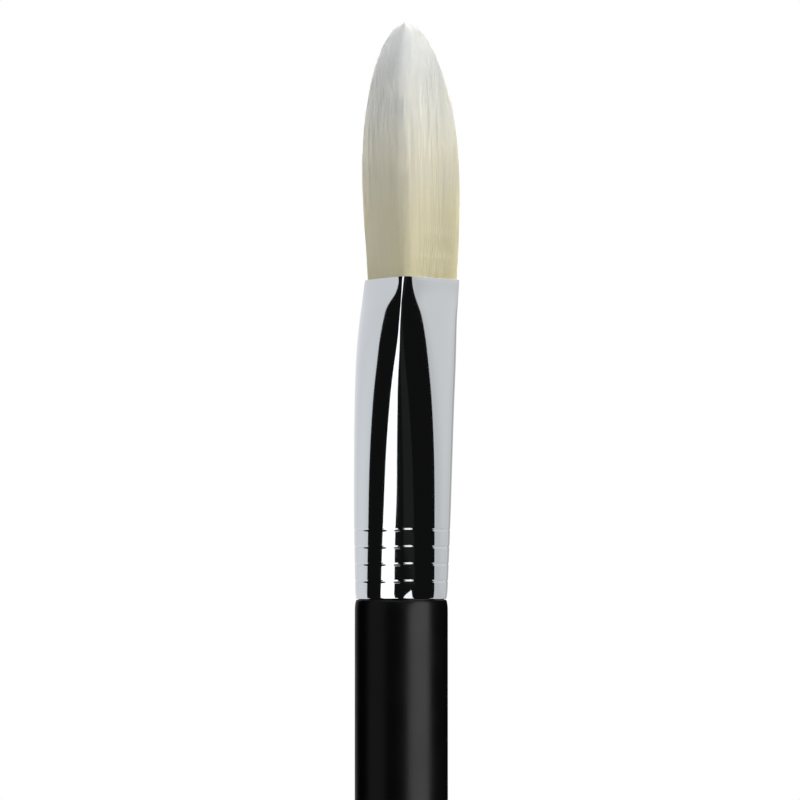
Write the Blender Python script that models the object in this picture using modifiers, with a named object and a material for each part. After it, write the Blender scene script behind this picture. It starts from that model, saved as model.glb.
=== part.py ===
"""Concealer brush: a lacquered wooden handle, a pressed three-cornered metal ferrule and a bullet-shaped tuft.

It stands along +Z with its bristle tips up. The origin is the centre of the small flat on the handle's end.
The ferrule is round where it grips the handle and three-cornered at its mouth, and its front corner
points along -Y. Lengths are in metres.
"""

import math

import bmesh
import bpy
from mathutils import Vector

MM = 0.001
TURN = 2 * math.pi
CORNERS = 3
FACETS = 36  # round every turned and every lofted piece
FINE_STEPS = 20  # steps of the outline's sum within one facet
BISECTIONS = 30
KEY_DIGITS = 7
SHARP_ANGLE = math.radians(32)

# Handle, up to the ferrule's foot
HANDLE_LENGTH = 118.0 * MM
HANDLE_RADIUS = 4.65 * MM
HANDLE_STRAIGHT_LENGTH = 30.0 * MM
HANDLE_TAIL_RADIUS = 2.9 * MM
TAIL_DOME_LENGTH = 2.6 * MM
TAIL_FLAT_RADIUS = 1.2 * MM
SHOULDER_LENGTH = 1.1 * MM
SHOULDER_DROP = 0.2 * MM
TAPER_STEPS = 8
DOME_STEPS = 4
SHOULDER_STEPS = 3

# Ferrule
FERRULE_LENGTH = 32.0 * MM
FERRULE_RADIUS = 4.6 * MM
FERRULE_WALL = 0.25 * MM
MOUTH_SHIFT = 0.86 * MM
CRIMP_COUNT = 4
CRIMP_FIRST_HEIGHT = 1.8 * MM
CRIMP_PITCH = 1.7 * MM
CRIMP_WIDTH = 0.36 * MM
CRIMP_DEPTH = 0.04 * MM
BODY_STEPS = 14

# Height up the ferrule, then mean radius and corner radius as shares of the foot's radius, how flat the
# sides are (0.5 is a plain swell, 1 is dead flat) and the share of the mouth's shift off the handle's axis
FERRULE_SHARES = (
    (0.00, 1.000, 1.00, 0.50, 0.00),
    (0.22, 1.048, 0.81, 0.50, 0.06),
    (0.42, 1.072, 0.66, 0.54, 0.14),
    (0.60, 1.086, 0.43, 0.60, 0.22),
    (0.72, 1.088, 0.24, 0.66, 0.31),
    (0.80, 1.076, 0.12, 0.70, 0.40),
    (0.88, 1.048, 0.05, 0.77, 0.55),
    (0.94, 1.020, 0.08, 0.90, 0.76),
    (1.00, 1.000, 0.15, 0.965, 1.00),
)
LEAST_CORNER_SHARE = 0.02

# What the ferrule holds
FIT_CLEARANCE = 0.08 * MM
TENON_LENGTH = 12.0 * MM
TENON_CHAMFER = 0.6 * MM
GLUE_THICKNESS = 0.15 * MM
GLUE_LENGTH = 3.6 * MM
AIR_GAP = 3.4 * MM
PLUG_FLOOR = 2.4 * MM
COLLAR_WALL = 0.45 * MM
THREAD_DIAMETER = 0.4 * MM
THREAD_TURNS = 6
THREAD_VALLEY_SHARE = 0.55

# Bristles
TUFT_LENGTH = 25.8 * MM
TUFT_SWELL = 0.50 * MM
TUFT_WIDEST_SHARE = 0.40
TUFT_LEAN = 0.48 * MM
DOME_POWER = 0.56
GATHER_SHARE = 0.25
TIP_STAGGER_SHARE = 0.6
OUTERMOST_SHARE = 0.98
SLICE_SINK = 0.3 * MM
MOUTH_CLEARANCE = 0.13 * MM
ROOT_STEPS = 5
STRAND_ROWS = 19
STRAND_MARGIN_SHARE = 0.01
STRAND_GAP = 0.1 * MM
STRAND_WAIST_SHARE = 0.85
STRAND_TIP_SHARE = 0.4
GOLDEN_SHARE = (math.sqrt(5) - 1) / 2

# Colours are linear, then metallic and roughness
FINISHES = {
    "handle": ((0.012, 0.012, 0.013), 0.0, 0.16),
    "handle_glue": ((0.62, 0.50, 0.27), 0.0, 0.35),
    "ferrule": ((0.82, 0.83, 0.84), 1.0, 0.06),
    "epoxy_plug": ((0.72, 0.55, 0.24), 0.0, 0.2),
    "root_thread": ((0.75, 0.72, 0.65), 0.0, 0.8),
    "bristle_tuft": ((0.78, 0.74, 0.62), 0.0, 0.5),
}


def clear_scene():
    for thing in list(bpy.data.objects):
        bpy.data.objects.remove(thing, do_unlink=True)


def new_collection(name):
    collection = bpy.data.collections.new(name)
    bpy.context.scene.collection.children.link(collection)
    return collection


def finish(name):
    """The material of one piece."""
    colour, metallic, roughness = FINISHES[name]
    material = bpy.data.materials.new(name)
    material.use_nodes = True
    shader = material.node_tree.nodes["Principled BSDF"]
    shader.inputs["Base Color"].default_value = (*colour, 1)
    shader.inputs["Metallic"].default_value = metallic
    shader.inputs["Roughness"].default_value = roughness
    material.diffuse_color = (*colour, 1)
    return material


def add_piece(name, mesh, collection, carrier, height):
    """Put a mesh into the scene as one piece, its own zero at this height above the carrier."""
    mesh.materials.append(finish(name))
    mesh.shade_smooth()
    mesh.set_sharp_from_angle(angle=SHARP_ANGLE)
    piece = bpy.data.objects.new(name, mesh)
    collection.objects.link(piece)
    piece.parent = carrier
    piece.location = (0, 0, height)
    return piece


def mesh_of(shape, name):
    mesh = bpy.data.meshes.new(name)
    shape.to_mesh(mesh)
    shape.free()
    return mesh


def smooth_row(rows, place):
    """The values of a table at this place, on smooth curves through its rows."""
    last = len(rows) - 1
    index = 0
    while index < last - 1 and place > rows[index + 1][0]:
        index += 1
    low, high = rows[index], rows[index + 1]
    span = high[0] - low[0]
    part = min(max((place - low[0]) / span, 0), 1)
    before, after = rows[max(index - 1, 0)], rows[min(index + 2, last)]
    values = []
    for column in range(1, len(low)):
        start_slope = (high[column] - before[column]) / (high[0] - before[0]) * span
        end_slope = (after[column] - low[column]) / (after[0] - low[0]) * span
        values.append(
            (2 * part**3 - 3 * part**2 + 1) * low[column]
            + (part**3 - 2 * part**2 + part) * start_slope
            + (3 * part**2 - 2 * part**3) * high[column]
            + (part**3 - part**2) * end_slope
        )
    return values


def cornered_outline(mean_radius, corner_radius, flatness):
    """Points of a three-cornered outline, one a facet, from the corner at -Y and round by +X.

    Its radius of curvature grows smoothly from each corner to the middle of each side, and its mean
    over the whole turn stays the mean radius, so that the girth does too.
    """
    growth = (mean_radius - corner_radius) / (1 - flatness)
    power = flatness / (1 - flatness)
    steps = FACETS * FINE_STEPS
    step_turn = TURN / steps
    points = []
    spot = Vector((0, 0))
    for step in range(steps):
        if step % FINE_STEPS == 0:
            points.append(spot.copy())
        turn = (step + 0.5) * step_turn
        from_corner = abs((turn * CORNERS / TURN + 0.5) % 1 - 0.5) * 2
        bend = corner_radius + growth * from_corner**power
        spot += Vector((math.cos(turn), math.sin(turn))) * bend * step_turn
    middle = sum((points[k * FACETS // CORNERS] for k in range(CORNERS)), Vector((0, 0))) / CORNERS
    return [point - middle for point in points]


def ferrule_outline(height, inset):
    """The ferrule's outline at a height above its foot, drawn in by the inset, and its shift along +X."""
    mean_share, corner_share, flatness, shift_share = smooth_row(FERRULE_SHARES, height / FERRULE_LENGTH)
    mean_radius = mean_share * FERRULE_RADIUS - inset
    corner_radius = max(corner_share * FERRULE_RADIUS - inset, LEAST_CORNER_SHARE * mean_radius)
    return cornered_outline(mean_radius, corner_radius, flatness), shift_share * MOUTH_SHIFT


def ferrule_ring(height, inset):
    points, shift = ferrule_outline(height, inset)
    return [Vector((point.x + shift, point.y, height)) for point in points]


def round_ring(height, radius):
    ring = []
    for facet in range(FACETS):
        turn = TURN * facet / FACETS
        ring.append(Vector((radius * math.sin(turn), -radius * math.cos(turn), height)))
    return ring


def loft(rings, closed):
    """Skin a row of unlike rings. A closed row comes back to its first ring, and an open one is capped."""
    shape = bmesh.new()
    loops = [[shape.verts.new(point) for point in ring] for ring in rings]
    pairs = list(zip(loops, loops[1:] + loops[:1]))
    if not closed:
        pairs.pop()
        shape.faces.new(loops[0][::-1])
        shape.faces.new(loops[-1])
    for low, high in pairs:
        for facet in range(FACETS):
            after = (facet + 1) % FACETS
            shape.faces.new((low[facet], low[after], high[after], high[facet]))
    return shape


def turned_piece(name, profile, collection, carrier, height):
    """A profile of (radius, height) points, from its top down its outer side, turned about the Z axis."""
    mesh = bpy.data.meshes.new(name)
    corners = [(radius, 0, level) for radius, level in profile]
    mesh.from_pydata(corners, [(k, k + 1) for k in range(len(corners) - 1)], [])
    piece = add_piece(name, mesh, collection, carrier, height)
    screw = piece.modifiers.new("turning", "SCREW")
    screw.axis = "Z"
    screw.steps = FACETS
    screw.render_steps = FACETS
    screw.use_merge_vertices = True
    screw.merge_threshold = 0.00001
    screw.use_smooth_shade = True
    return piece


def crimp_steps():
    """(height, depth) along the crimped foot: level, pressed in and level again at each rolled ring."""
    steps = []
    for crimp in range(CRIMP_COUNT):
        middle = CRIMP_FIRST_HEIGHT + crimp * CRIMP_PITCH
        steps.append((middle - CRIMP_WIDTH / 2, 0))
        steps.append((middle, CRIMP_DEPTH))
        steps.append((middle + CRIMP_WIDTH / 2, 0))
    return steps


def body_heights():
    """Even stations from the uppermost crimp to the ferrule's mouth."""
    crimp_top = crimp_steps()[-1][0]
    return [crimp_top + (FERRULE_LENGTH - crimp_top) * (k + 1) / BODY_STEPS for k in range(BODY_STEPS)]


def handle_profile():
    """Tenon, shoulder, straight stretch, long taper and domed tail, from the top down."""
    inner_radius = FERRULE_RADIUS - FERRULE_WALL
    tenon_radius = inner_radius - FIT_CLEARANCE
    neck_radius = tenon_radius - GLUE_THICKNESS - FIT_CLEARANCE
    neck_foot = TENON_LENGTH - GLUE_LENGTH
    profile = [
        (0, TENON_LENGTH),
        (neck_radius - TENON_CHAMFER, TENON_LENGTH),
        (neck_radius, TENON_LENGTH - TENON_CHAMFER),
        (neck_radius, neck_foot),
        (tenon_radius, neck_foot),
    ]
    for height, depth in reversed(crimp_steps()):
        profile.append((tenon_radius - depth, height))
    profile.append((tenon_radius, -FIT_CLEARANCE))
    for step in range(SHOULDER_STEPS + 1):
        turn = TURN / 4 * step / SHOULDER_STEPS
        radius = HANDLE_RADIUS - SHOULDER_DROP * (1 - math.sin(turn))
        profile.append((radius, -FIT_CLEARANCE - SHOULDER_LENGTH * (1 - math.cos(turn))))
    taper_top = -HANDLE_STRAIGHT_LENGTH
    taper_foot = -HANDLE_LENGTH + TAIL_DOME_LENGTH
    for step in range(TAPER_STEPS + 1):
        share = step / TAPER_STEPS
        radius = HANDLE_RADIUS + (HANDLE_TAIL_RADIUS - HANDLE_RADIUS) * (1 - math.cos(TURN / 4 * share))
        profile.append((radius, taper_top + (taper_foot - taper_top) * share))
    for step in range(1, DOME_STEPS + 1):
        turn = TURN / 4 * step / DOME_STEPS
        radius = TAIL_FLAT_RADIUS + (HANDLE_TAIL_RADIUS - TAIL_FLAT_RADIUS) * math.cos(turn)
        profile.append((radius, taper_foot - TAIL_DOME_LENGTH * math.sin(turn)))
    profile.append((0, -HANDLE_LENGTH))
    return profile


def ferrule_shape():
    """Outer skin from foot to mouth, and the inner one back down, both with the crimps' rings."""
    levels = [(0, 0)] + crimp_steps() + [(height, 0) for height in body_heights()]
    rings = [ferrule_ring(height, depth) for height, depth in levels]
    rings += [ferrule_ring(height, depth + FERRULE_WALL) for height, depth in reversed(levels)]
    return loft(rings, closed=True)


def glue_shape():
    """Adhesive between the tenon's neck and the ferrule, above the crimps."""
    inset = FERRULE_WALL + FIT_CLEARANCE
    bore = FERRULE_RADIUS - inset - GLUE_THICKNESS
    foot = TENON_LENGTH - GLUE_LENGTH + FIT_CLEARANCE
    top = TENON_LENGTH - TENON_CHAMFER
    rings = [ferrule_ring(foot, inset), ferrule_ring(top, inset), round_ring(top, bore), round_ring(foot, bore)]
    return loft(rings, closed=True)


def root_levels():
    """Heights above the ferrule's foot: the plug's underside, its floor's top, the thread's foot and top."""
    plug_foot = TENON_LENGTH + AIR_GAP
    floor_top = plug_foot + PLUG_FLOOR
    thread_foot = floor_top + 2 * FIT_CLEARANCE
    return plug_foot, floor_top, thread_foot, thread_foot + THREAD_TURNS * THREAD_DIAMETER


def thread_insets():
    """How far inside the ferrule's outline the thread's outer and inner sides lie."""
    outer = FERRULE_WALL + FIT_CLEARANCE + COLLAR_WALL + FIT_CLEARANCE
    return outer, outer + THREAD_DIAMETER


def plug_shape():
    """Cast epoxy: a floor under the bristles' roots and a collar round the thread that ties them."""
    plug_foot, floor_top, _, thread_top = root_levels()
    rim = thread_top + FIT_CLEARANCE
    outer_inset = FERRULE_WALL + FIT_CLEARANCE
    inner_inset = outer_inset + COLLAR_WALL
    rings = [ferrule_ring(height, outer_inset) for height in (plug_foot, floor_top, rim)]
    rings += [ferrule_ring(height, inner_inset) for height in (rim, floor_top)]
    return loft(rings, closed=False)


def thread_shape():
    """Six turns of whipping thread, ridged outside and flat against the bristles."""
    _, _, thread_foot, thread_top = root_levels()
    outer, inner = thread_insets()
    valley = outer + (inner - outer) * (1 - THREAD_VALLEY_SHARE)
    rings = [ferrule_ring(thread_foot, valley)]
    for turn in range(THREAD_TURNS):
        rings.append(ferrule_ring(thread_foot + (turn + 0.5) * THREAD_DIAMETER, outer))
        rings.append(ferrule_ring(thread_foot + (turn + 1) * THREAD_DIAMETER, valley))
    rings += [ferrule_ring(height, inner) for height in (thread_top, thread_foot)]
    return loft(rings, closed=True)


def root_rings():
    """The packed roots: tied tight inside the thread, then filling the ferrule up to just under its mouth."""
    _, floor_top, _, thread_top = root_levels()
    tight = thread_insets()[1] + FIT_CLEARANCE
    loose = FERRULE_WALL + MOUTH_CLEARANCE
    slice_top = FERRULE_LENGTH - SLICE_SINK
    stops = [floor_top + FIT_CLEARANCE, thread_top + FIT_CLEARANCE]
    rings = [ferrule_ring(height, tight) for height in stops]
    for step in range(1, ROOT_STEPS + 1):
        share = step / ROOT_STEPS
        height = stops[1] + (slice_top - stops[1]) * share
        inset = tight + (loose - tight) * math.sin(TURN / 4 * share)
        rings.append(ferrule_ring(height, inset))
    return rings


def middle_of(ring):
    return sum(ring, Vector()) / FACETS


def share_out(spot, ring, middle):
    """How far out from the middle a point lies, as a share of the way to a convex ring."""
    share = 0.0
    for start, end in zip(ring, ring[1:] + ring[:1]):
        across = Vector((end.y - start.y, start.x - end.x, 0))
        share = max(share, across.dot(spot - middle) / across.dot(start - middle))
    return share


def lattice_cells(ring, middle):
    """Cells of a triangular lattice whose rows run round with the ring, without the three corner cells."""
    side_reach = min((point - middle).length for point in ring)
    frame = []
    for corner in range(CORNERS):
        turn = TURN * corner / CORNERS
        way_out = Vector((math.sin(turn), -math.cos(turn), 0))
        frame.append(middle + way_out * side_reach / math.cos(math.pi / CORNERS))

    def knot(row, place):
        """A lattice point between the frame's corners, drawn in where the ring's corners are rounder."""
        front, right, left = frame
        share = row / STRAND_ROWS
        across = place / row if row else 0
        spot = front + (left - front) * share + (right - left) * across * share
        out = share_out(spot, ring, middle)
        if out == 0:
            return spot
        return middle + (spot - middle) * share_out(spot, frame, middle) / out * (1 - STRAND_MARGIN_SHARE)

    cells = []
    for row in range(STRAND_ROWS):
        for place in range(row + 1):
            if 0 < row < STRAND_ROWS - 1 or 0 < place < row:
                cells.append((knot(row, place), knot(row + 1, place + 1), knot(row + 1, place)))
            if place < row:
                cells.append((knot(row, place), knot(row, place + 1), knot(row + 1, place + 1)))
    return cells


def tuft_middle(height):
    """The tuft's axis, which leans back over the handle all the way up."""
    above = max(height - FERRULE_LENGTH, 0) / TUFT_LENGTH
    return Vector((MOUTH_SHIFT - TUFT_LEAN * above, 0, height))


def dome_place(share):
    """How far up the dome, 0 to 1, a strand ends that stands this share of the way out from the axis."""
    low, high = 0.0, 1.0
    for _ in range(BISECTIONS):
        place = (low + high) / 2
        if (1 - place**2) ** DOME_POWER > share * (1 - GATHER_SHARE * place**2):
            low = place
        else:
            high = place
    return low


def draw_strand(face, old_middle, new_middle, spread, thickness):
    """Move one strand's loose end: its centre spreads from the tuft's axis, and its own corners close up."""
    centre = face.calc_center_median()
    landing = new_middle + (centre - old_middle) * spread
    for vert in face.verts:
        vert.co = landing + (vert.co - centre) * thickness


def slice_with_cells(rings):
    """The packed root slice, its top laid out in small triangles that each stand a strand's gap apart."""
    shape = loft(rings, closed=False)
    shape.faces.remove(max(shape.faces, key=lambda face: face.calc_center_median().z))
    knots = {}
    cells = []
    for cell in lattice_cells(rings[-1], middle_of(rings[-1])):
        for spot in cell:
            if spot.to_tuple(KEY_DIGITS) not in knots:
                knots[spot.to_tuple(KEY_DIGITS)] = shape.verts.new(spot)
        cells.append(shape.faces.new([knots[spot.to_tuple(KEY_DIGITS)] for spot in cell]))
    open_edges = [edge for edge in shape.edges if edge.is_boundary]
    bmesh.ops.triangle_fill(shape, use_beauty=True, edges=open_edges, normal=(0, 0, 1))
    shape.normal_update()
    bmesh.ops.inset_individual(shape, faces=cells, thickness=STRAND_GAP / 2, use_even_offset=True)
    return shape, cells


def tuft_shape():
    """Each strand is drawn out of the slice's top by way of the tuft's widest height to its own tip."""
    rings = root_rings()
    shape, cells = slice_with_cells(rings)
    slice_ring = rings[-1]
    slice_middle = middle_of(slice_ring)
    slice_reach = sum((point - slice_middle).length for point in slice_ring) / FACETS
    spread = 1 + TUFT_SWELL / slice_reach
    dome_foot = tuft_middle(FERRULE_LENGTH + TUFT_WIDEST_SHARE * TUFT_LENGTH)
    dome_length = (1 - TUFT_WIDEST_SHARE) * TUFT_LENGTH

    waists = bmesh.ops.extrude_discrete_faces(shape, faces=cells)["faces"]
    for face in waists:
        draw_strand(face, slice_middle, dome_foot, spread, STRAND_WAIST_SHARE)
    tips = bmesh.ops.extrude_discrete_faces(shape, faces=waists)["faces"]
    for index, face in enumerate(tips):
        start = slice_middle + (face.calc_center_median() - dome_foot) / spread
        stagger = (index * GOLDEN_SHARE % 1 - 0.5) * TIP_STAGGER_SHARE * CORNERS / STRAND_ROWS
        share = share_out(start, slice_ring, slice_middle) + stagger
        place = dome_place(min(max(share, 0), OUTERMOST_SHARE))
        tip_middle = tuft_middle(dome_foot.z + dome_length * place)
        gathered = 1 - GATHER_SHARE * place**2
        draw_strand(face, dome_foot, tip_middle, gathered, STRAND_TIP_SHARE / STRAND_WAIST_SHARE)
    return shape


def build():
    clear_scene()
    collection = new_collection("concealer_brush")
    carrier = bpy.data.objects.new("concealer_brush_axis", None)
    collection.objects.link(carrier)
    foot = HANDLE_LENGTH
    turned_piece("handle", handle_profile(), collection, carrier, foot)
    shapes = {
        "ferrule": ferrule_shape(),
        "handle_glue": glue_shape(),
        "epoxy_plug": plug_shape(),
        "root_thread": thread_shape(),
        "bristle_tuft": tuft_shape(),
    }
    for name, shape in shapes.items():
        add_piece(name, mesh_of(shape, name), collection, carrier, foot)


build()
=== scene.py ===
"""The looks of a concealer brush: black lacquered handle, chromed ferrule, white filaments with cream roots.

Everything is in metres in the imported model's frame. The brush stands along +Z on its handle's end, and the
ferrule's front corner points along -Y. The camera looks at it from that side.
"""

import math

import bmesh
import bpy
import numpy as np
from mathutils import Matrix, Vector


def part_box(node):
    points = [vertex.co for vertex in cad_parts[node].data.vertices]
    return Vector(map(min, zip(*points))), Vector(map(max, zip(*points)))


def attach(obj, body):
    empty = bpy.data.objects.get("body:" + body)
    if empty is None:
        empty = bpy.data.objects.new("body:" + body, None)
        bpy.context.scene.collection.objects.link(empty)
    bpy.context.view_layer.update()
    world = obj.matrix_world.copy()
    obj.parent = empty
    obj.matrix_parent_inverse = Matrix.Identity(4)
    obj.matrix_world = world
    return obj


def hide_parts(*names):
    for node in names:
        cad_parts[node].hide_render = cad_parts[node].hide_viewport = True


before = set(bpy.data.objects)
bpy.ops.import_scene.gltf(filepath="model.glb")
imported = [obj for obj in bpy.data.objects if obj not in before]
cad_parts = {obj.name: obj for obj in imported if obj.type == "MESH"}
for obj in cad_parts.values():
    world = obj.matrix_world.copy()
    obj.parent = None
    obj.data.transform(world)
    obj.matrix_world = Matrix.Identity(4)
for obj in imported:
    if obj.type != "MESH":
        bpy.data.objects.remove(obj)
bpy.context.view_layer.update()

MM = 0.001
TURN = 2 * math.pi
MERGE_DISTANCE = MM / 10000

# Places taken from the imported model
FERRULE_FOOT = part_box("ferrule")[0].z
FERRULE_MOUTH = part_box("ferrule")[1].z
FERRULE_LENGTH = FERRULE_MOUTH - FERRULE_FOOT
HANDLE_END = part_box("handle")[0].z
TENON_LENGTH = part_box("handle")[1].z - FERRULE_FOOT
TUFT_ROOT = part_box("bristle_tuft")[0].z
TUFT_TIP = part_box("bristle_tuft")[1].z
THREAD_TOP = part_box("root_thread")[1].z

# Photograph
PIXEL = 0.1 * MM
PHOTO_SIDE = 800
AXIS_COLUMN = 401.3
TIP_ROW = 22.1
CAMERA_AZIMUTH = math.radians(5.6)
CAMERA_DISTANCE = 0.45
CAMERA_RISE = 7.0 * MM
SENSOR_WIDTH = 36.0

# Ferrule
CORNERS = 3
AROUND = 360
FINE_STEPS = 8
FERRULE_RADIUS = 4.6 * MM
FERRULE_WALL = 0.25 * MM
MOUTH_SHIFT = 0.86 * MM
CRIMP_COUNT = 4
CRIMP_FIRST_HEIGHT = 1.8 * MM
CRIMP_PITCH = 1.7 * MM
CRIMP_WIDTH = 0.36 * MM
CRIMP_DEPTH = 0.04 * MM
CRIMP_STEPS = 12
CRIMP_EDGE = 0.03 * MM  # a station this near keeps the wall between two rings straight
BODY_STEP = 0.38 * MM
SKIN_INSET = 0.01 * MM  # keeps the finer outline inside the CAD's facets
FOOT_ROLL_HEIGHT = 1.0 * MM
FOOT_ROLL_DEPTH = 0.08 * MM
FOOT_ROLL_STEPS = 6
RIM_ROUNDING = 0.06 * MM
ARC_STEPS = 4
SAME_PLACE_PARTS = 1000  # points this part of a pixel apart share one pressed outline

# Height up the ferrule, then mean radius and corner radius as shares of the foot's radius, how flat the
# sides are (0.5 is a plain swell, 1 is dead flat) and the share of the mouth's shift off the handle's axis
FERRULE_SHARES = (
    (0.00, 1.000, 1.00, 0.50, 0.00),
    (0.22, 1.048, 0.81, 0.50, 0.06),
    (0.42, 1.072, 0.66, 0.54, 0.14),
    (0.60, 1.086, 0.43, 0.60, 0.22),
    (0.72, 1.088, 0.24, 0.66, 0.31),
    (0.80, 1.076, 0.12, 0.70, 0.40),
    (0.88, 1.048, 0.05, 0.77, 0.55),
    (0.94, 1.020, 0.08, 0.88, 0.76),
    (1.00, 1.000, 0.17, 0.955, 1.00),
)
LEAST_CORNER_SHARE = 0.02

# Handle
HANDLE_RADIUS = 4.65 * MM
HANDLE_STRAIGHT_LENGTH = 30.0 * MM
HANDLE_TAIL_RADIUS = 2.9 * MM
TAIL_DOME_LENGTH = 2.6 * MM
TAIL_FLAT_RADIUS = 1.2 * MM
SHOULDER_LENGTH = 1.1 * MM
SHOULDER_DROP = 0.2 * MM
FIT_CLEARANCE = 0.08 * MM
GLUE_THICKNESS = 0.15 * MM
GLUE_LENGTH = 3.6 * MM
TENON_CHAMFER = 0.6 * MM
TAPER_STEPS = 40
DOME_STEPS = 12
SHOULDER_STEPS = 8
HANDLE_AROUND = 128
SHARP_EDGE = math.radians(40)

# Filaments
FILAMENT_COUNT = 14000
FILAMENT_RADIUS = 0.042 * MM
FILAMENT_SIDES = 3
TIP_RADIUS_SHARE = 0.6
TAPER_START_SHARE = 0.86
TUFT_SWELL = 0.42 * MM
TUFT_WIDEST_SHARE = 0.40
TUFT_LEAN = 0.45 * MM
TUFT_OFFSET = 0.08 * MM
TUFT_SETTLING = 3.0 * MM
DOME_POWER = 0.56
GATHER_SHARE = 0.55
TIGHT_SHARE = 0.78
STRAY = 0.02 * MM
TIP_SCATTER_SHARE = 0.02
ROOT_STATION = -2
THREAD_STATION = -1
MOUTH_STATION = 0
FREE_STATIONS = (0.12, 0.25, 0.40, 0.56, 0.74, 0.88, 1.0)
DOME_SAMPLES = 400
STEEPEST_CLIMB = 0.975  # the dome would look straight up at 1
TUFT_PIECES = 4
SEED = 7

# Height up the free filaments, then the corner radius of the tuft's section and how flat its sides are
TUFT_SHARES = (
    (0.00, 0.10, 0.96),
    (0.12, 0.20, 0.93),
    (0.40, 0.25, 0.90),
    (0.70, 0.36, 0.82),
    (1.00, 0.70, 0.60),
)
TUFT_LEVELS = 12

# Studio: places in metres, and angles in degrees, with azimuth from the camera's side towards +X
SWEEP_RADIUS = 1.6
SWEEP_FOOT = -1.3
SWEEP_TOP = 2.1
SWEEP_STEPS = 24
HOT_SPOT_RIM = 0.87  # cosine of the angle from the hot spot where a sweep is at its dimmest
HOT_SPOT_HEART = 0.97
SLANT_RISE = 10
CARD_DISTANCE = 1.6
LAMP_DISTANCE = 1.3
CEILING_RIM = 0.6  # sine of the elevation where the ceiling starts to show
CEILING_HEART = 0.85
CEILING_GLOW = 0.5
DARK_ROOM_GLOW = 0.008
FLOOR_RADIUS = 0.5
FLOOR_AROUND = 96
CARD_LEVEL = FERRULE_FOOT - 36 * MM  # where the ferrule mirrors what stands level with the camera

# Cards that the ferrule mirrors: elevation, then the azimuths of the left and the right edge there
STRIP_CARD = (
    (-45, -54, -9),
    (-25, -54, -10),
    (-21, -55, -16),
    (-13, -54.5, -18.5),
    (-4, -53.5, -17.5),
    (-2, -52.5, -15),
    (0.7, -51, -8),
    (3, -47, -1),
    (6.5, -37, -4),
    (10.7, -46, -26),
    (14, -46, -22),
    (18, -44, -20),
    (40, -44, -20),
)
LOW_CARD = (
    (-42, 15, 32),
    (-32, 12, 36),
    (-24, 8, 34),
    (-20, 5.5, 31),
    (-16, 9, 28.5),
    (-12.5, 14, 27.5),
    (-9, 19.5, 27),
    (-6.5, 24, 26.7),
)
GREY_CARD = ((-4, 8, 36), (45, 8, 36))


def linear(code):
    """An sRGB hex colour, such as C8C4B0, as the linear red, green, blue and alpha of a socket."""
    channels = [int(code[k : k + 2], 16) / 255 for k in (0, 2, 4)]
    return tuple(c / 12.92 if c <= 0.04045 else ((c + 0.055) / 1.055) ** 2.4 for c in channels) + (1.0,)


def set_inputs(tree, node, inputs):
    """Each input is a constant, or the socket that feeds it."""
    for key, value in inputs.items():
        if isinstance(value, bpy.types.NodeSocket):
            tree.links.new(value, node.inputs[key])
        else:
            node.inputs[key].default_value = value


def add_node(tree, kind, inputs=None, **settings):
    """One node with its settings, its constants and its links."""
    node = tree.nodes.new(kind)
    for name, value in settings.items():
        setattr(node, name, value)
    set_inputs(tree, node, inputs or {})
    return node


def new_material(name):
    """A material with its node tree and its shader."""
    material = bpy.data.materials.new(name)
    material.use_nodes = True
    return material, material.node_tree, material.node_tree.nodes["Principled BSDF"]


def new_piece(name, shape, material, replaced):
    """A finished bmesh as one piece of the brush that stands for a CAD node."""
    mesh = bpy.data.meshes.new(name)
    shape.to_mesh(mesh)
    shape.free()
    return mesh_piece(name, mesh, material, replaced)


def mesh_piece(name, mesh, material, replaced):
    """A finished mesh as one piece of the brush that stands for a CAD node."""
    mesh.materials.append(material)
    mesh.shade_smooth()
    piece = bpy.data.objects.new(name, mesh)
    bpy.context.scene.collection.objects.link(piece)
    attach(piece, "root")
    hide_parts(replaced)
    return piece


# Ferrule's form


def smooth_row(rows, place):
    """The values of a table at this place, on smooth curves through its rows."""
    last = len(rows) - 1
    index = 0
    while index < last - 1 and place > rows[index + 1][0]:
        index += 1
    low, high = rows[index], rows[index + 1]
    span = high[0] - low[0]
    part = min(max((place - low[0]) / span, 0), 1)
    before, after = rows[max(index - 1, 0)], rows[min(index + 2, last)]
    values = []
    for column in range(1, len(low)):
        start_slope = (high[column] - before[column]) / (high[0] - before[0]) * span
        end_slope = (after[column] - low[column]) / (after[0] - low[0]) * span
        values.append(
            (2 * part**3 - 3 * part**2 + 1) * low[column]
            + (part**3 - 2 * part**2 + part) * start_slope
            + (3 * part**2 - 2 * part**3) * high[column]
            + (part**3 - part**2) * end_slope
        )
    return values


def cornered_outline(mean_radius, corner_radius, flatness):
    """Points of a three-cornered outline, one for each of AROUND even turns of its outward normal.

    The first looks along -Y and they go round by +X. The bend's radius grows smoothly from each corner to
    the middle of each side, and its mean over the whole turn stays the mean radius.
    """
    steps = AROUND * FINE_STEPS
    turns = (np.arange(steps) + 0.5) * TURN / steps
    from_corner = np.abs((turns * CORNERS / TURN + 0.5) % 1 - 0.5) * 2
    growth = (mean_radius - corner_radius) / (1 - flatness)
    bends = corner_radius + growth * from_corner ** (flatness / (1 - flatness))
    strides = np.stack([np.cos(turns), np.sin(turns)], axis=1) * (bends * TURN / steps)[:, None]
    points = np.concatenate([[[0, 0]], np.cumsum(strides, axis=0)])[:-1:FINE_STEPS]
    return points - points[:: AROUND // CORNERS].mean(axis=0)


def ferrule_outline(height, inset):
    """The ferrule's outline at a height above its foot, drawn in by the inset."""
    mean_share, corner_share, flatness, shift_share = smooth_row(FERRULE_SHARES, height / FERRULE_LENGTH)
    mean_radius = mean_share * FERRULE_RADIUS - inset - SKIN_INSET
    corner_radius = max(corner_share * FERRULE_RADIUS - inset, LEAST_CORNER_SHARE * mean_radius)
    return cornered_outline(mean_radius, corner_radius, flatness) + (shift_share * MOUTH_SHIFT, 0)


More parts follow.
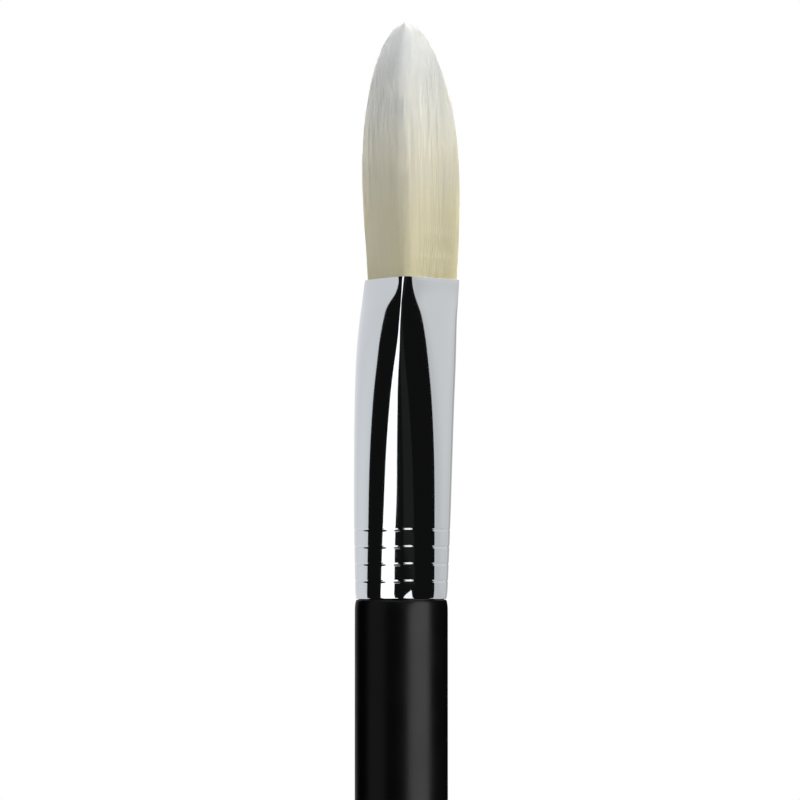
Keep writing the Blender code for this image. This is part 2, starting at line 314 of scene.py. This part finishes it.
def crimp_depth(height):
    """How deep the rolled rings press the foot in at this height."""
    for crimp in range(CRIMP_COUNT):
        away = abs(height - CRIMP_FIRST_HEIGHT - crimp * CRIMP_PITCH)
        if away < CRIMP_WIDTH / 2:
            return CRIMP_DEPTH * (1 + math.cos(TURN * away / CRIMP_WIDTH)) / 2
    return 0.0


def wall_heights():
    """Stations up the ferrule's wall: close together in each rolled ring, even above them."""
    heights = []
    for crimp in range(CRIMP_COUNT):
        foot = CRIMP_FIRST_HEIGHT + crimp * CRIMP_PITCH - CRIMP_WIDTH / 2
        heights.append(foot - CRIMP_EDGE)
        heights += [foot + CRIMP_WIDTH * step / CRIMP_STEPS for step in range(CRIMP_STEPS + 1)]
        heights.append(foot + CRIMP_WIDTH + CRIMP_EDGE)
    steps = round((FERRULE_LENGTH - RIM_ROUNDING - heights[-1]) / BODY_STEP)
    gap = (FERRULE_LENGTH - RIM_ROUNDING - heights[-1]) / steps
    heights += [heights[-1] + gap * (step + 1) for step in range(steps - 1)]
    return heights


def quarter(inset, height, radius, start):
    """(inset, height) points round a quarter turn from this start angle, where 0 looks outwards."""
    points = []
    for step in range(ARC_STEPS + 1):
        turn = start + TURN / 4 * step / ARC_STEPS
        points.append((inset - radius * math.cos(turn), height + radius * math.sin(turn)))
    return points


def wall_profile():
    """(inset, height) round the wall's section: rolled foot, outer side, rounded rim and bore."""
    top = FERRULE_LENGTH - RIM_ROUNDING
    profile = []
    for step in range(FOOT_ROLL_STEPS + 1):
        share = step / FOOT_ROLL_STEPS
        profile.append((FOOT_ROLL_DEPTH * (1 - share) ** 2, FOOT_ROLL_HEIGHT * share))
    heights = wall_heights()
    profile += [(crimp_depth(height), height) for height in heights]
    profile += quarter(RIM_ROUNDING, top, RIM_ROUNDING, 0)
    profile += quarter(FERRULE_WALL - RIM_ROUNDING, top, RIM_ROUNDING, TURN / 4)
    profile += [(crimp_depth(height) + FERRULE_WALL, height) for height in reversed(heights)]
    profile.append((FERRULE_WALL, 0))
    return profile


def turned(profile, around):
    """(radius, height) points spun round Z. A profile that stays off the axis is closed to a ring."""
    shape = bmesh.new()
    verts = [shape.verts.new((0, -radius, height)) for radius, height in profile]
    edges = [shape.edges.new(pair) for pair in zip(verts, verts[1:])]
    if profile[0][0] > 0:
        edges.append(shape.edges.new((verts[-1], verts[0])))
    bmesh.ops.spin(
        shape, geom=verts + edges, cent=(0, 0, 0), axis=(0, 0, 1), angle=TURN, steps=around, use_merge=True
    )
    bmesh.ops.remove_doubles(shape, verts=shape.verts, dist=MERGE_DISTANCE)
    bmesh.ops.recalc_face_normals(shape, faces=shape.faces)
    return shape


def press_three_cornered(shape):
    """Press a round tube, as the die does: each point goes where the outline's normal looks its own way."""
    outlines = {}
    for vert in shape.verts:
        height = vert.co.z
        inset = FERRULE_RADIUS - math.hypot(vert.co.x, vert.co.y)
        place = round(math.atan2(vert.co.x, -vert.co.y) / TURN * AROUND) % AROUND
        key = (round(height / PIXEL * SAME_PLACE_PARTS), round(inset / PIXEL * SAME_PLACE_PARTS))
        if key not in outlines:
            outlines[key] = ferrule_outline(height, inset)
        vert.co.x, vert.co.y = outlines[key][place]


def make_ferrule(material):
    """A drawn tube with four rolled rings at its foot, pressed three-cornered towards its mouth."""
    shape = turned([(FERRULE_RADIUS - inset, height) for inset, height in wall_profile()], AROUND)
    press_three_cornered(shape)
    bmesh.ops.translate(shape, verts=shape.verts, vec=(0, 0, FERRULE_FOOT))
    return new_piece("ferrule_tube", shape, material, "ferrule")


def handle_profile():
    """(radius, height above the ferrule's foot) from the tenon's top down to the flat on the tail."""
    tenon_radius = FERRULE_RADIUS - FERRULE_WALL - FIT_CLEARANCE
    neck_radius = tenon_radius - GLUE_THICKNESS - FIT_CLEARANCE
    neck_foot = TENON_LENGTH - GLUE_LENGTH
    profile = [(0, TENON_LENGTH), (neck_radius - TENON_CHAMFER, TENON_LENGTH)]
    profile += [(neck_radius, TENON_LENGTH - TENON_CHAMFER), (neck_radius, neck_foot)]
    profile.append((tenon_radius, neck_foot))
    for height in reversed(wall_heights()):
        if height < CRIMP_FIRST_HEIGHT + CRIMP_COUNT * CRIMP_PITCH:
            profile.append((tenon_radius - crimp_depth(height), height))
    profile.append((tenon_radius, -FIT_CLEARANCE))
    for step in range(SHOULDER_STEPS + 1):
        turn = TURN / 4 * step / SHOULDER_STEPS
        radius = HANDLE_RADIUS - SHOULDER_DROP * (1 - math.sin(turn))
        profile.append((radius, -FIT_CLEARANCE - SHOULDER_LENGTH * (1 - math.cos(turn))))
    tail = HANDLE_END - FERRULE_FOOT
    dome_top = tail + TAIL_DOME_LENGTH
    for step in range(TAPER_STEPS + 1):
        share = step / TAPER_STEPS
        radius = HANDLE_RADIUS + (HANDLE_TAIL_RADIUS - HANDLE_RADIUS) * (1 - math.cos(TURN / 4 * share))
        profile.append((radius, -HANDLE_STRAIGHT_LENGTH + (dome_top + HANDLE_STRAIGHT_LENGTH) * share))
    for step in range(1, DOME_STEPS + 1):
        turn = TURN / 4 * step / DOME_STEPS
        radius = TAIL_FLAT_RADIUS + (HANDLE_TAIL_RADIUS - TAIL_FLAT_RADIUS) * math.cos(turn)
        profile.append((radius, dome_top - TAIL_DOME_LENGTH * math.sin(turn)))
    profile.append((0, tail))
    return profile


def make_handle(material):
    shape = turned(handle_profile(), HANDLE_AROUND)
    bmesh.ops.translate(shape, verts=shape.verts, vec=(0, 0, FERRULE_FOOT))
    piece = new_piece("lacquered_handle", shape, material, "handle")
    piece.data.set_sharp_from_angle(angle=SHARP_EDGE)
    return piece


# Filaments


def filament_stations():
    """Rings along one filament: at its root, where the thread ends, at the mouth and up its free length."""
    return [ROOT_STATION, THREAD_STATION, MOUTH_STATION, *FREE_STATIONS]


def filament_template():
    """One closed three-sided filament. The height of each ring is its number, which the placing looks up."""
    shape = bmesh.new()
    rings = len(filament_stations())
    bmesh.ops.create_cone(
        shape, cap_ends=True, segments=FILAMENT_SIDES, radius1=1, radius2=1, depth=rings - 1
    )
    bmesh.ops.translate(shape, verts=shape.verts, vec=(0, 0, (rings - 1) / 2))
    for ring in range(1, rings - 1):
        bmesh.ops.bisect_plane(
            shape,
            geom=shape.verts[:] + shape.edges[:] + shape.faces[:],
            plane_co=(0, 0, ring),
            plane_no=(0, 0, 1),
        )
    bmesh.ops.recalc_face_normals(shape, faces=shape.faces)
    mesh = bpy.data.meshes.new("filament")
    shape.to_mesh(mesh)
    shape.free()
    return mesh


def repeated(mesh, count):
    """One mesh that holds this many copies of another, all in one place."""
    carrier = bpy.data.objects.new("copies", mesh)
    bpy.context.scene.collection.objects.link(carrier)
    copies = carrier.modifiers.new("copies", "ARRAY")
    copies.count = count
    copies.use_relative_offset = False
    copies.use_constant_offset = True
    copies.constant_offset_displace = (0, 0, 0)
    bpy.context.view_layer.update()
    made = bpy.data.meshes.new_from_object(carrier.evaluated_get(bpy.context.evaluated_depsgraph_get()))
    bpy.data.objects.remove(carrier)
    return made


def tuft_outline(place):
    """The tuft's section at this share of its free height, whose three corners soften upwards.

    Turns round its axis, its reach there as a share of half its width along X, and the turn that its
    outside faces.
    """
    corner_share, flatness = smooth_row(TUFT_SHARES, place)
    points = cornered_outline(1, corner_share, flatness)
    half_width = np.ptp(points[:, 0]) / 2
    turns = np.unwrap(np.arctan2(points[:, 0], -points[:, 1]))
    reaches = np.hypot(points[:, 0], points[:, 1]) / half_width
    facings = np.arange(AROUND + 1) * TURN / AROUND
    return np.append(turns, turns[0] + TURN), np.append(reaches, reaches[0]), facings


def even_places(count):
    """Even cover of the mouth: how far out each filament stands, as a share, and its turn."""
    turns, reaches, _ = tuft_outline(0)
    swept = np.concatenate([[0], np.cumsum((reaches[1:] ** 2 + reaches[:-1] ** 2) / 2 * np.diff(turns))])
    order = np.arange(count)
    golden = (3 - math.sqrt(5)) / 2
    return np.sqrt((order + 0.5) / count), np.interp(order * golden % 1, swept / swept[-1], turns)


def section_at(turn, place):
    """The section's reach and the turn its outside faces, at each filament's turn and free height."""
    outlines = [tuft_outline(level / TUFT_LEVELS) for level in range(TUFT_LEVELS + 1)]
    level = np.clip(place, 0, 1) * TUFT_LEVELS
    below = np.minimum(level.astype(int), TUFT_LEVELS - 1)
    part = level - below
    own = np.arange(len(turn))[:, None]
    found = []
    for column in (1, 2):
        levels = np.array([np.interp(turn, outline[0], outline[column]) for outline in outlines])
        found.append(levels[below, own] * (1 - part) + levels[below + 1, own] * part)
    return found


def end_of(share):
    """How far up the dome, 0 to 1, a filament ends that stands this share of the way out."""
    climb = np.linspace(0, 1, DOME_SAMPLES)
    edge = (1 - climb**2) ** DOME_POWER / (1 - GATHER_SHARE * climb**2)
    return np.interp(share, edge[::-1], climb[::-1])


def place_filaments(mesh, first):
    """Lay each copy along its own path, and give the way its surface looks at each point.

    Every piece takes each fourth filament from its first on, so that all of them cover the whole mouth.
    """
    random = np.random.default_rng(SEED)
    share, turn = even_places(FILAMENT_COUNT)
    free_length = TUFT_TIP - FERRULE_MOUTH
    widest = TUFT_WIDEST_SHARE * free_length
    dome = free_length - widest
    end = end_of(share) * (1 - TIP_SCATTER_SHARE * random.random(FILAMENT_COUNT))
    length = widest + dome * end
    lean = random.normal(0, 1, (FILAMENT_COUNT, 2)) * STRAY
    phase = random.random(FILAMENT_COUNT) * TURN
    shade = random.random(FILAMENT_COUNT)
    mouth = ferrule_outline(FERRULE_LENGTH, FERRULE_WALL + FILAMENT_RADIUS)
    half_width = np.ptp(mouth[:, 0]) / 2

    own = np.arange(first, FILAMENT_COUNT, TUFT_PIECES)
    per_filament = len(mesh.vertices) // len(own)
    points = np.empty(len(mesh.vertices) * 3, np.float32)
    mesh.vertices.foreach_get("co", points)
    points = points.reshape(len(own), per_filament, 3)
    rings = np.rint(points[:, :, 2]).astype(int)
    stations = np.array(filament_stations(), float)[rings]
    along = np.clip(stations, 0, 1)
    above = along * length[own][:, None]
    heights = np.select(
        [stations == ROOT_STATION, stations == THREAD_STATION], [TUFT_ROOT, THREAD_TOP], FERRULE_MOUTH + above
    )
    tight = np.where(stations < MOUTH_STATION, TIGHT_SHARE, 1)
    swell = TUFT_SWELL * np.sin(TURN / 4 * np.minimum(above / widest, 1))
    climb = np.maximum(above - widest, 0) / dome
    reach, facing = section_at(turn[own], above / free_length)
    out = share[own][:, None] * reach * (half_width + swell) * tight * (1 - GATHER_SHARE * climb**2)
    settled = TUFT_OFFSET * np.minimum(above / TUFT_SETTLING, 1)
    middle = MOUTH_SHIFT + settled - TUFT_LEAN * above / free_length
    loose = along**2
    wave = STRAY * np.sin(TURN * along + phase[own][:, None]) * along
    thick = FILAMENT_RADIUS * (
        1 - (1 - TIP_RADIUS_SHARE) * np.clip((along - TAPER_START_SHARE) / (1 - TAPER_START_SHARE), 0, 1)
    )
    first_corner = math.atan2(points[0, 0, 1], points[0, 0, 0])
    spin = facing - TURN / 4 - first_corner - TURN / FILAMENT_SIDES / 2
    across = points[:, :, 0] * np.cos(spin) - points[:, :, 1] * np.sin(spin)
    deep = points[:, :, 0] * np.sin(spin) + points[:, :, 1] * np.cos(spin)
    way = turn[own][:, None]
    placed = np.stack(
        [
            middle + out * np.sin(way) + lean[own][:, :1] * loose + wave * np.cos(way) + across * thick,
            -out * np.cos(way) + lean[own][:, 1:] * loose + wave * np.sin(way) + deep * thick,
            heights,
        ],
        axis=2,
    )
    mesh.vertices.foreach_set("co", placed.astype(np.float32).ravel())
    near_tip = np.minimum(climb, STEEPEST_CLIMB)
    steepness = (1 - near_tip**2) ** (DOME_POWER - 1)
    tilt = np.arctan((half_width + swell) * 2 * DOME_POWER * near_tip * steepness / dome)
    outward = np.stack(
        [np.sin(facing) * np.cos(tilt), -np.cos(facing) * np.cos(tilt), np.sin(tilt)], axis=2
    )
    tone = mesh.attributes.new("tone", "FLOAT", "POINT")
    tone.data.foreach_set("value", np.repeat(shade[own], per_filament).astype(np.float32))
    mesh.update()
    return outward.reshape(-1, 3)


def make_tuft(material):
    template = filament_template()
    pieces = []
    for first in range(TUFT_PIECES):
        count = len(range(first, FILAMENT_COUNT, TUFT_PIECES))
        mesh = repeated(template, count)
        outward = place_filaments(mesh, first)
        name = f"filaments_{'abcd'[first]}"
        mesh.name = name
        pieces.append(mesh_piece(name, mesh, material, "bristle_tuft"))
        mesh.normals_split_custom_set_from_vertices(outward)
    return pieces


# Materials


def object_position(tree):
    return add_node(tree, "ShaderNodeTexCoord").outputs["Object"]


def satin_black_lacquer():
    """Black lacquer sprayed over turned beech and rubbed down: soft broad streaks of light."""
    material, tree, shader = new_material("satin_black_lacquer")
    place = object_position(tree)
    peel = add_node(tree, "ShaderNodeTexNoise", {"Vector": place, "Scale": 1 / (0.9 * MM), "Detail": 2.0})
    bump = add_node(
        tree, "ShaderNodeBump", {"Height": peel.outputs["Fac"], "Strength": 0.05, "Distance": 0.01 * MM}
    )
    rubbed = add_node(tree, "ShaderNodeTexNoise", {"Vector": place, "Scale": 1 / (4 * MM), "Detail": 3.0})
    rough = add_node(
        tree,
        "ShaderNodeMapRange",
        {"Value": rubbed.outputs["Fac"], "From Min": 0.3, "From Max": 0.7, "To Min": 0.29, "To Max": 0.36},
    )
    set_inputs(
        tree,
        shader,
        {
            "Base Color": linear("111112"),
            "Roughness": rough.outputs["Result"],
            "Normal": bump.outputs["Normal"],
            "IOR": 1.5,
        },
    )
    return material


def chromed_brass():
    """Chrome plating on drawn, polished brass: mirror-bright, faintly blue, hardly lined by the polishing."""
    material, tree, shader = new_material("chromed_brass")
    place = object_position(tree)
    stretched = add_node(tree, "ShaderNodeMapping", {"Vector": place, "Scale": (1, 1, 0.06)})
    lines = add_node(
        tree,
        "ShaderNodeTexNoise",
        {"Vector": stretched.outputs["Vector"], "Scale": 1 / (0.25 * MM), "Detail": 2.0},
    )
    rough = add_node(
        tree,
        "ShaderNodeMapRange",
        {"Value": lines.outputs["Fac"], "From Min": 0.3, "From Max": 0.7, "To Min": 0.04, "To Max": 0.07},
    )
    set_inputs(
        tree,
        shader,
        {"Base Color": linear("C5C8CB"), "Metallic": 1.0, "Roughness": rough.outputs["Result"]},
    )
    return material


def pbt_filament():
    """Drawn PBT filament, tapered at its tip: milky white where it is thin, cream where it is packed.

    Light spreads a little way into it, which takes the hard edge off the shade between filaments. Its colour
    also holds painted shade: darker at the very root, where the ferrule's mouth shades it, and greyer at the
    very tip, which tones down the light there.
    """
    material, tree, shader = new_material("pbt_filament")
    place = object_position(tree)
    height = add_node(tree, "ShaderNodeSeparateXYZ", {"Vector": place})
    climb = add_node(
        tree,
        "ShaderNodeMapRange",
        {"Value": height.outputs["Z"], "From Min": FERRULE_MOUTH, "From Max": TUFT_TIP},
    )
    ramp = add_node(tree, "ShaderNodeValToRGB", {"Fac": climb.outputs["Result"]})
    # The root's stop is darker than the cream just above it: painted shade from the ferrule's mouth. The top
    # stop, and the stop at 0.88, grey the tip: painted shade that tones down the light on it.
    ramp.color_ramp.elements[0].color = linear("C6B284")
    ramp.color_ramp.elements[1].color = linear("BBB6A8")
    between = ((0.05, "D0BA8B"), (0.25, "DAC295"), (0.45, "E2CCA6"), (0.7, "ECDBBA"), (0.88, "E0D7BF"))
    for share, code in between:
        ramp.color_ramp.elements.new(share).color = linear(code)
    tone = add_node(tree, "ShaderNodeAttribute", attribute_name="tone")
    light = add_node(
        tree,
        "ShaderNodeMapRange",
        {"Value": tone.outputs["Fac"], "To Min": 0.98, "To Max": 1.02},
    )
    shaded = add_node(
        tree,
        "ShaderNodeMix",
        {"Factor": 1.0, "A": ramp.outputs["Color"], "B": light.outputs["Result"]},
        data_type="RGBA",
        blend_type="MULTIPLY",
    )
    set_inputs(
        tree,
        shader,
        {
            "Base Color": shaded.outputs["Result"],
            "Roughness": 0.5,
            "IOR": 1.55,
            "Specular IOR Level": 0.25,
            "Subsurface Weight": 1.0,
            "Subsurface Radius": (1.0, 0.9, 0.7),
            "Subsurface Scale": 0.3 * MM,
        },
    )
    return material


def cured_adhesive():
    """Contact adhesive, cured to a clear amber film: glossy, with fine bubbles."""
    material, tree, shader = new_material("cured_contact_adhesive")
    place = object_position(tree)
    bubbles = add_node(tree, "ShaderNodeTexVoronoi", {"Vector": place, "Scale": 1 / (0.5 * MM)})
    bump = add_node(
        tree,
        "ShaderNodeBump",
        {"Height": bubbles.outputs["Distance"], "Strength": 0.3, "Distance": 0.03 * MM},
    )
    blot = add_node(tree, "ShaderNodeTexNoise", {"Vector": place, "Scale": 1 / (2 * MM), "Detail": 3.0})
    ramp = add_node(tree, "ShaderNodeValToRGB", {"Fac": blot.outputs["Fac"]})
    ramp.color_ramp.elements[0].color = linear("B98F45")
    ramp.color_ramp.elements[1].color = linear("DDBE80")
    set_inputs(
        tree,
        shader,
        {
            "Base Color": ramp.outputs["Color"],
            "Roughness": 0.3,
            "Transmission Weight": 0.4,
            "Normal": bump.outputs["Normal"],
        },
    )
    return material


def cast_epoxy():
    """Two-part epoxy, poured over the roots and set: amber, glossy, a few bubbles and a paler milky bloom."""
    material, tree, shader = new_material("cast_amber_epoxy")
    place = object_position(tree)
    bubbles = add_node(tree, "ShaderNodeTexVoronoi", {"Vector": place, "Scale": 1 / (1.2 * MM)})
    pits = add_node(
        tree,
        "ShaderNodeMapRange",
        {
            "Value": bubbles.outputs["Distance"],
            "From Min": 0.0,
            "From Max": 0.2,
            "To Min": -1.0,
            "To Max": 0.0,
        },
    )
    bump = add_node(
        tree, "ShaderNodeBump", {"Height": pits.outputs["Result"], "Strength": 0.5, "Distance": 0.05 * MM}
    )
    bloom = add_node(tree, "ShaderNodeTexNoise", {"Vector": place, "Scale": 1 / (3 * MM), "Detail": 4.0})
    ramp = add_node(tree, "ShaderNodeValToRGB", {"Fac": bloom.outputs["Fac"]})
    ramp.color_ramp.elements[0].color = linear("A9742C")
    ramp.color_ramp.elements[1].color = linear("D9AE68")
    set_inputs(
        tree,
        shader,
        {
            "Base Color": ramp.outputs["Color"],
            "Roughness": 0.15,
            "Transmission Weight": 0.3,
            "Normal": bump.outputs["Normal"],
        },
    )
    return material


def waxed_thread():
    """Twisted polyester whipping thread, waxed: its plies slant round each turn, with painted shade where
    they meet.
    """
    material, tree, shader = new_material("waxed_thread")
    place = object_position(tree)
    plies = add_node(
        tree,
        "ShaderNodeTexWave",
        {"Vector": place, "Scale": 1 / (4 * MM), "Distortion": 0.6, "Detail": 2.0},
        wave_type="BANDS",
        bands_direction="DIAGONAL",
    )
    fuzz = add_node(tree, "ShaderNodeTexNoise", {"Vector": place, "Scale": 1 / (0.08 * MM), "Detail": 3.0})
    rise = add_node(
        tree, "ShaderNodeMath", {0: plies.outputs["Fac"], 1: fuzz.outputs["Fac"]}, operation="MULTIPLY"
    )
    bump = add_node(
        tree, "ShaderNodeBump", {"Height": rise.outputs["Value"], "Strength": 0.8, "Distance": 0.06 * MM}
    )
    # The colour follows the bump's height, so the thread is darker where its plies dip: painted shade in the
    # grooves between plies.
    ramp = add_node(tree, "ShaderNodeValToRGB", {"Fac": rise.outputs["Value"]})
    ramp.color_ramp.elements[0].color = linear("B5AC97")
    ramp.color_ramp.elements[1].color = linear("E2DDD0")
    set_inputs(
        tree,
        shader,
        {"Base Color": ramp.outputs["Color"], "Roughness": 0.7, "Normal": bump.outputs["Normal"]},
    )
    return material


def dress_node(node, material):
    """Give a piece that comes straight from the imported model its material."""
    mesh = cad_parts[node].data
    mesh.materials.clear()
    mesh.materials.append(material)


# Studio


def seen_from_camera(azimuth, elevation):
    """The direction at this azimuth, counted from the camera's side towards +X, and this elevation."""
    turn = CAMERA_AZIMUTH + azimuth
    level = math.cos(elevation)
    return Vector((math.sin(turn) * level, -math.cos(turn) * level, math.sin(elevation)))


def make_camera():
    """Close by, just above the ferrule's foot. Its tilt and pan put the tip and the axis as in the photo."""
    data = bpy.data.cameras.new("photo_camera")
    data.sensor_width = SENSOR_WIDTH
    data.lens = SENSOR_WIDTH * CAMERA_DISTANCE / (PHOTO_SIDE * PIXEL)
    camera = bpy.data.objects.new("photo_camera", data)
    bpy.context.scene.collection.objects.link(camera)
    bpy.context.scene.camera = camera
    height = FERRULE_FOOT + CAMERA_RISE
    camera.location = seen_from_camera(0, 0) * CAMERA_DISTANCE + Vector((0, 0, height))
    tip_in_frame = math.atan((PHOTO_SIDE / 2 - TIP_ROW) * PIXEL / CAMERA_DISTANCE)
    tilt = math.atan((TUFT_TIP - height) / CAMERA_DISTANCE) - tip_in_frame
    pan = math.atan((AXIS_COLUMN - PHOTO_SIDE / 2) * PIXEL / CAMERA_DISTANCE)
    camera.rotation_euler = (TURN / 4 + tilt, 0, CAMERA_AZIMUTH + pan)


def shines_on(light, pieces):
    """Flag a lamp or a card off everything but these pieces of the brush."""
    lit = bpy.data.collections.new(light.name + "_lights")
    for piece in pieces:
        lit.objects.link(piece)
    light.light_linking.receiver_collection = lit


def softbox(name, azimuth, elevation, width, height, radiance, pieces, code="FFFFFF"):
    """A rectangular softbox that looks at the brush's head, as bright as this radiance."""
    data = bpy.data.lights.new(name, "AREA")
    data.shape = "RECTANGLE"
    data.size = 2 * LAMP_DISTANCE * math.tan(math.radians(width) / 2)
    data.size_y = 2 * LAMP_DISTANCE * math.tan(math.radians(height) / 2)
    data.energy = radiance * math.pi * data.size * data.size_y
    data.color = linear(code)[:3]
    lamp = bpy.data.objects.new(name, data)
    bpy.context.scene.collection.objects.link(lamp)
    away = seen_from_camera(math.radians(azimuth), math.radians(elevation))
    lamp.location = Vector((0, 0, FERRULE_MOUTH)) + away * LAMP_DISTANCE
    lamp.rotation_euler = away.to_track_quat("Z", "Y").to_euler()
    lamp.visible_camera = False
    shines_on(lamp, pieces)


def studio_card(name, shape, code, radiance, pieces):
    """A glowing sheet of the studio, which the brush mirrors and the camera doesn't see."""
    material = bpy.data.materials.new(name)
    material.use_nodes = True
    tree = material.node_tree
    tree.nodes.clear()
    glow = add_node(tree, "ShaderNodeEmission", {"Color": linear(code), "Strength": radiance})
    add_node(tree, "ShaderNodeOutputMaterial", {"Surface": glow.outputs["Emission"]})
    mesh = bpy.data.meshes.new(name)
    shape.to_mesh(mesh)
    shape.free()
    mesh.materials.append(material)
    card = bpy.data.objects.new(name, mesh)
    bpy.context.scene.collection.objects.link(card)
    card.visible_camera = False
    card.visible_shadow = False
    shines_on(card, pieces)
    return tree, glow


def slanting_cut(shape, azimuth, slant):
    """Cut off a sheet's camera side, along a line through this azimuth that leans by the slant."""
    level = seen_from_camera(math.radians(azimuth), 0)
    raised = seen_from_camera(math.radians(azimuth + slant * SLANT_RISE), math.radians(SLANT_RISE))
    side = level.cross(raised)
    if side.dot(seen_from_camera(0, 0)) < 0:
        side = -side
    bmesh.ops.bisect_plane(
        shape,
        geom=shape.verts[:] + shape.edges[:] + shape.faces[:],
        plane_co=(0, 0, CARD_LEVEL + FERRULE_LENGTH),
        plane_no=side,
        clear_outer=True,
    )


def sweep(name, start, end, edge, slants, code, radiance, hot_spot, dimmest, pieces):
    """White paper bent round behind the brush. Its glow is brightest at its hot spot and dims away from it: a
    painted pool of light, with no lamp of its own there.
    """
    shape = bmesh.new()
    upright = seen_from_camera(math.radians(start), 0) * SWEEP_RADIUS
    verts = [shape.verts.new(upright + Vector((0, 0, height))) for height in (SWEEP_FOOT, SWEEP_TOP)]
    sheet_edge = shape.edges.new(verts)
    bmesh.ops.spin(
        shape,
        geom=verts + [sheet_edge],
        cent=(0, 0, 0),
        axis=(0, 0, 1),
        angle=math.radians(end - start),
        steps=SWEEP_STEPS,
    )
    for slant in slants:
        slanting_cut(shape, edge, slant)
    tree, glow = studio_card(name, shape, code, radiance, pieces)
    # The glow falls off from the hot spot: a painted pool of light in the sheet's own emission.
    middle = seen_from_camera(math.radians(hot_spot[0]), math.radians(hot_spot[1])) / SWEEP_RADIUS
    towards = add_node(
        tree,
        "ShaderNodeVectorMath",
        {0: add_node(tree, "ShaderNodeTexCoord").outputs["Object"], 1: middle},
        operation="DOT_PRODUCT",
    )
    falloff = add_node(
        tree,
        "ShaderNodeMapRange",
        {
            "Value": towards.outputs["Value"],
            "From Min": HOT_SPOT_RIM,
            "From Max": HOT_SPOT_HEART,
            "To Min": dimmest * radiance,
            "To Max": radiance,
        },
        interpolation_type="SMOOTHSTEP",
    )
    tree.links.new(falloff.outputs["Result"], glow.inputs["Strength"])


def card(name, rows, radiance, pieces):
    """A glowing card round the ferrule, cut to these rows of elevation, left edge and right edge."""
    shape = bmesh.new()
    below = None
    for elevation, left, right in rows:
        ends = []
        for azimuth in (left, right):
            away = seen_from_camera(math.radians(azimuth), math.radians(elevation))
            ends.append(shape.verts.new(Vector((0, 0, CARD_LEVEL)) + away * CARD_DISTANCE))
        if below:
            shape.faces.new((below[0], below[1], ends[1], ends[0]))
        below = ends
    bmesh.ops.recalc_face_normals(shape, faces=shape.faces)
    studio_card(name, shape, "FFFFFF", radiance, pieces)


def make_world():
    """A dark room with a pale ceiling, which the chrome mirrors. Only the camera sees white."""
    world = bpy.data.worlds.new("studio")
    bpy.context.scene.world = world
    world.use_nodes = True
    tree = world.node_tree
    tree.nodes.clear()
    direction = add_node(tree, "ShaderNodeTexCoord").outputs["Generated"]
    height = add_node(tree, "ShaderNodeSeparateXYZ", {"Vector": direction})
    ceiling = add_node(
        tree,
        "ShaderNodeMapRange",
        {
            "Value": height.outputs["Z"],
            "From Min": CEILING_RIM,
            "From Max": CEILING_HEART,
            "To Min": DARK_ROOM_GLOW,
            "To Max": CEILING_GLOW,
        },
        interpolation_type="SMOOTHSTEP",
    )
    rays = add_node(tree, "ShaderNodeLightPath")
    strength = add_node(
        tree,
        "ShaderNodeMath",
        {0: ceiling.outputs["Result"], 1: rays.outputs["Is Camera Ray"]},
        operation="MAXIMUM",
    )
    light = add_node(
        tree,
        "ShaderNodeBackground",
        {"Color": linear("FFFFFF"), "Strength": strength.outputs["Value"]},
    )
    add_node(tree, "ShaderNodeOutputWorld", {"Surface": light.outputs["Background"]})


def make_floor():
    """Matt white board. The brush neither mirrors it nor takes its light, as if it stood far below."""
    shape = bmesh.new()
    bmesh.ops.create_circle(shape, cap_ends=True, segments=FLOOR_AROUND, radius=FLOOR_RADIUS)
    mesh = bpy.data.meshes.new("floor")
    shape.to_mesh(mesh)
    shape.free()
    material, tree, shader = new_material("matt_white_board")
    set_inputs(tree, shader, {"Base Color": linear("CFCFCD"), "Roughness": 0.8})
    mesh.materials.append(material)
    floor = bpy.data.objects.new("floor", mesh)
    bpy.context.scene.collection.objects.link(floor)
    floor.visible_glossy = False
    floor.visible_diffuse = False
    return floor


def set_view():
    bpy.context.scene.view_settings.view_transform = "Standard"


make_camera()
set_view()
make_world()
floor = make_floor()
ferrule = make_ferrule(chromed_brass())
handle = make_handle(satin_black_lacquer())
tuft = make_tuft(pbt_filament())

dress_node("handle_glue", cured_adhesive())
dress_node("epoxy_plug", cast_epoxy())
dress_node("root_thread", waxed_thread())

# start, end, azimuth and slants of the cut, colour, radiance, hot spot, dimmest share, what mirrors it
sweep("left_sweep", -60, -190, -96, (-1.1, 0.2), "FAFCFF", 1.06, (-118, -14), 0.9, [ferrule])
sweep("right_sweep", 80, 148, 91.5, (0,), "FFFFFF", 0.96, (120, 26), 0.85, [ferrule])
sweep("dim_sweep", 148, 190, 91.5, (0,), "FFFFFF", 0.55, (170, 0), 1, [ferrule])
# rows, radiance, what mirrors it
card("strip_card", STRIP_CARD, 1.9, [ferrule])
card("low_card", LOW_CARD, 1.6, [ferrule])
card("grey_card", GREY_CARD, 0.02, [ferrule])
# azimuth, elevation, width and height in degrees, radiance, what it lights, colour
softbox("handle_key", 45.5, 5, 56, 60, 1.5, [handle])
softbox("handle_fill", -65, 5, 50, 60, 0.17, [handle])
softbox("handle_rim", -160, 5, 30, 60, 0.3, [handle])
softbox("tuft_key", 62, 15, 60, 60, 2.8, tuft, "FFFDF7")
softbox("tuft_fill", -25, 10, 30, 60, 1.5, tuft)
softbox("tuft_left", -75, 10, 50, 60, 1.75, tuft)
softbox("tuft_rim", -150, 10, 40, 60, 3.1, tuft)
softbox("tuft_top", 6, 60, 40, 40, 11.5, tuft)
softbox("tuft_high_key", 90, 50, 50, 50, 4.8, tuft, "FFFDF7")
softbox("back_softbox", 160, 45, 40, 30, 2, [ferrule, handle, *tuft])
softbox("floor_light", 20, 60, 60, 60, 3.6, [floor])
